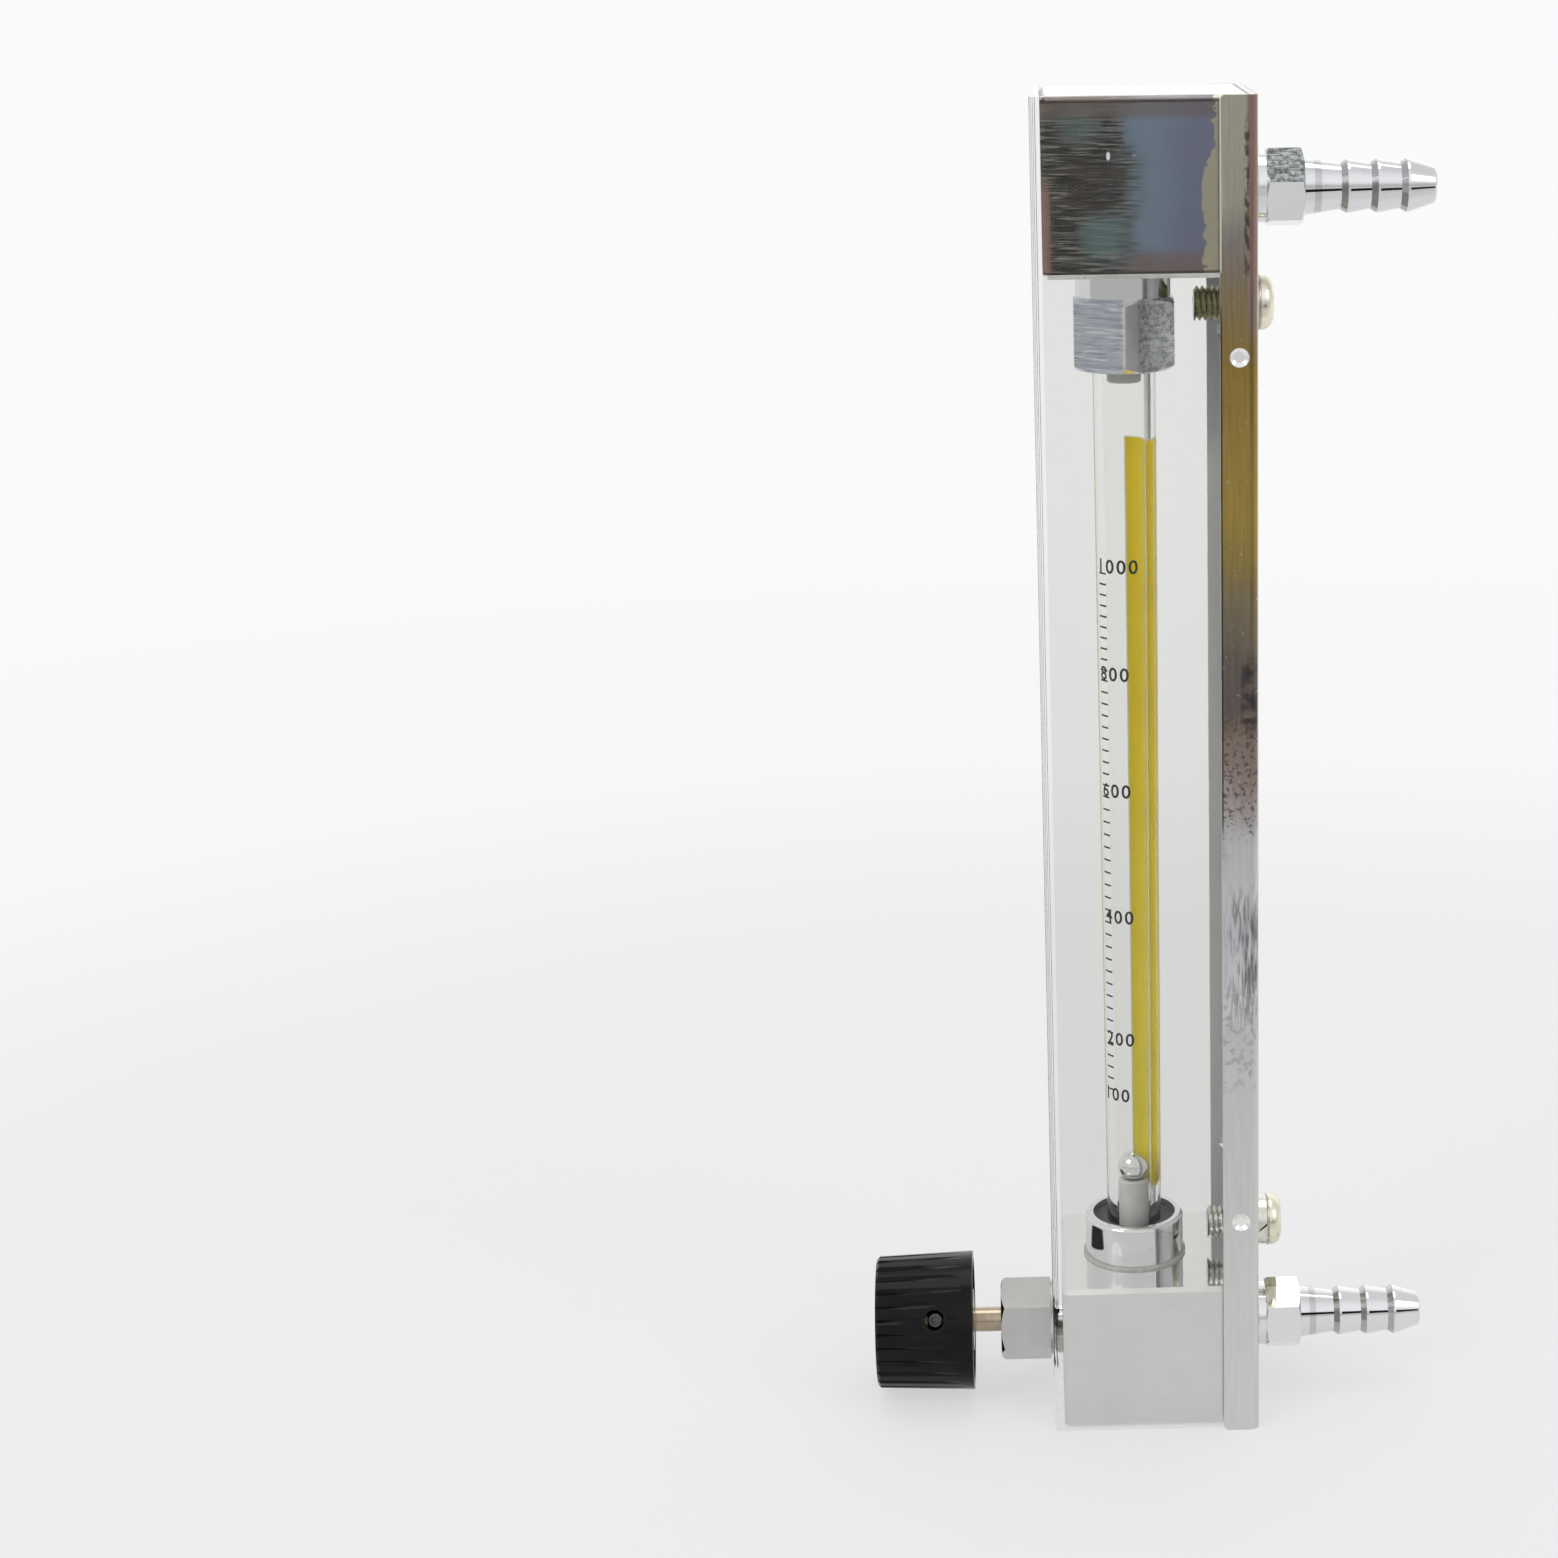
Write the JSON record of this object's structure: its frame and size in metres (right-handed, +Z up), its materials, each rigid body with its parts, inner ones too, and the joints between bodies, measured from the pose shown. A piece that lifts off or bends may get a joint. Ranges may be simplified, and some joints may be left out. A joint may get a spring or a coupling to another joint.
{
  "type": "glass tube rotameter",
  "caption": "Panel-mounted gas rotameter: a tapered glass tube with a ball float in a clear-covered frame, needle valve with fluted knob, barbed hose connections behind.",
  "frame": {"origin": "where the tube's axis meets the underside of the lower block", "axes": "+Z up along the tube, -X to the front with the knob, +X to the back with the hose barbs"},
  "size_m": [0.1337, 0.0534, 0.314],
  "materials": {
    "plated_channel": "satin",
    "plated_block": "satin",
    "clear_acrylic": "gloss",
    "clear_glass": "gloss",
    "ball_steel": "polished",
    "white_plastic": "matte",
    "pale_plastic": "matte",
    "polished_chrome": "polished",
    "fibre": "matte",
    "black_rubber": "matte",
    "stem_steel": "satin",
    "brass": "satin",
    "black_plastic": "satin",
    "zinc_steel": "satin",
    "black_steel": "satin"
  },
  "bodies": {
    "frame": {"back_channel": "plated_channel", "lower_block": "plated_block", "upper_block": "plated_block", "clear_cover": "clear_acrylic", "glass_tube": "clear_glass", "float_post": "white_plastic", "upper_float_stop": "pale_plastic", "tube_cup": "polished_chrome", "cup_joint_ring": "fibre", "tube_foot_seal": "black_rubber", "lower_packing": "black_rubber", "gland_nut": "polished_chrome", "gland_ring": "brass", "upper_packing": "black_rubber", "inlet_barb": "polished_chrome", "outlet_barb": "polished_chrome", "valve_bonnet": "polished_chrome", "bonnet_washer": "white_plastic", "bonnet_seal": "black_rubber", "valve_seat": "white_plastic", "barb_washers": "zinc_steel", "port_seals": "black_rubber", "panel_screws": "zinc_steel", "panel_washers": "zinc_steel", "spring_washers": "zinc_steel", "panel_nuts": "zinc_steel"},
    "float": {"float_ball": "ball_steel"},
    "stem": {"valve_stem": "stem_steel", "stem_seals": "black_rubber"},
    "knob": {"valve_knob": "black_plastic", "knob_insert": "brass", "knob_set_screw": "black_steel"}
  },
  "joints": [
    {"name": "float_rise", "type": "slide", "parent": "frame", "child": "float", "axis": [0, 0, 1], "range_m": [0, 0.1868]},
    {"name": "stem_travel", "type": "slide", "parent": "frame", "child": "stem", "axis": [-1, 0, 0], "range_m": [0, 0.003]},
    {"name": "knob_turn", "type": "hinge", "parent": "stem", "child": "knob", "pos_m": [-0.05, 0, 0.018], "axis": [-1, 0, 0], "range_deg": [0, 1080]}
  ],
  "couplings": [
    {"joint": "knob_turn", "follows": "stem_travel", "rad_per_m": 6283.2}
  ]
}
